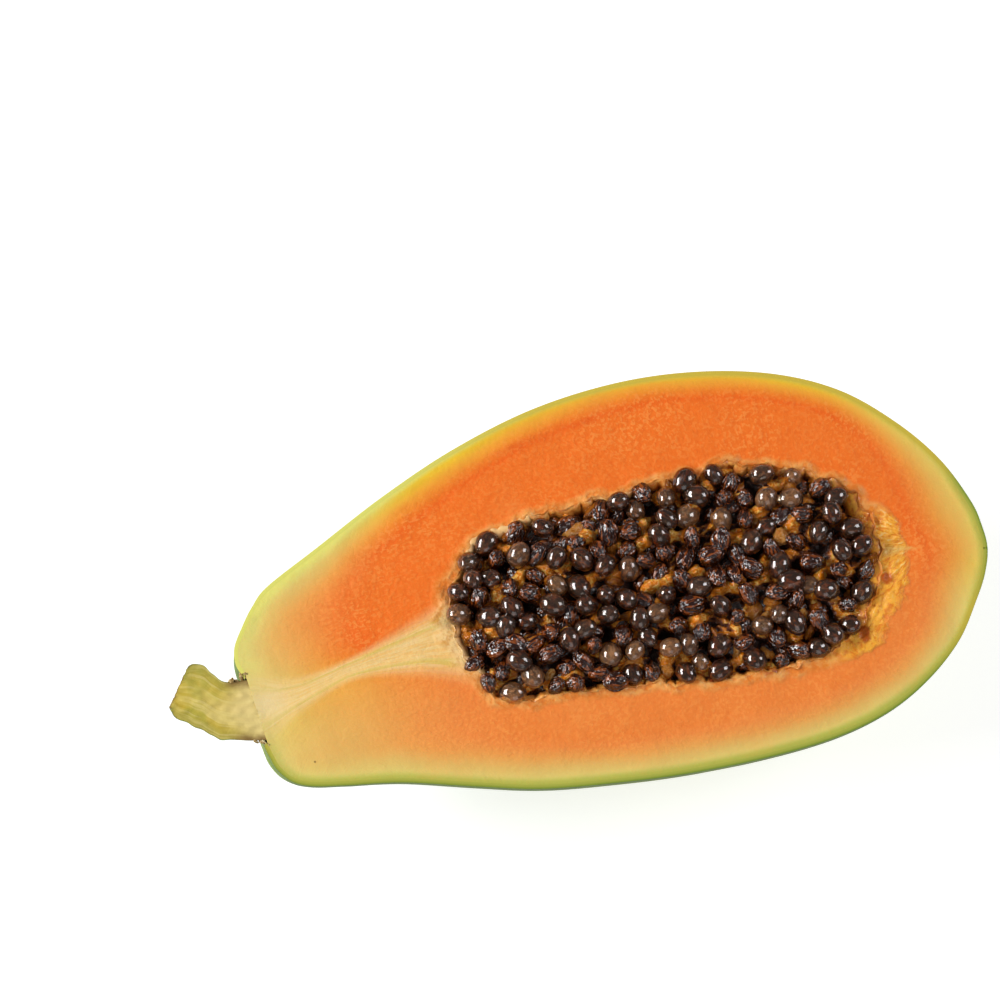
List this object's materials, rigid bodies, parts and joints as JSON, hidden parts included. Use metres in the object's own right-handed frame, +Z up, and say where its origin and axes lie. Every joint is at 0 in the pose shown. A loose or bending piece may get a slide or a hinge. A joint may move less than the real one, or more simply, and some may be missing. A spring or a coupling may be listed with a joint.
{
  "type": "papaya half",
  "caption": "Half of a ripe papaya cut lengthwise: green skin, thick orange flesh, a long cavity full of dark seeds, and a short stem. It lies on its skin, cut face up.",
  "frame": {"origin": "on the surface that the half lies on, under the middle of its outer box", "axes": "+X from the stem to the blossom end, +Z up and square to the cut face, +Y across the cut face towards its fuller side"},
  "size_m": [0.1998, 0.097, 0.0518],
  "materials": {
    "skin": "smooth waxy green fruit skin, satin",
    "flesh": "moist deep orange fruit flesh, paler towards the skin",
    "pulp": "moist stringy tan lining of the seed cavity",
    "seeds": "wet dark brown seeds in clear jelly",
    "stem": "green-brown fibrous stem with a pale cut face"
  },
  "bodies": {
    "root": {"skin": "skin", "flesh": "flesh", "pulp": "pulp", "seeds": "seeds", "stem": "stem"}
  },
  "joints": []
}
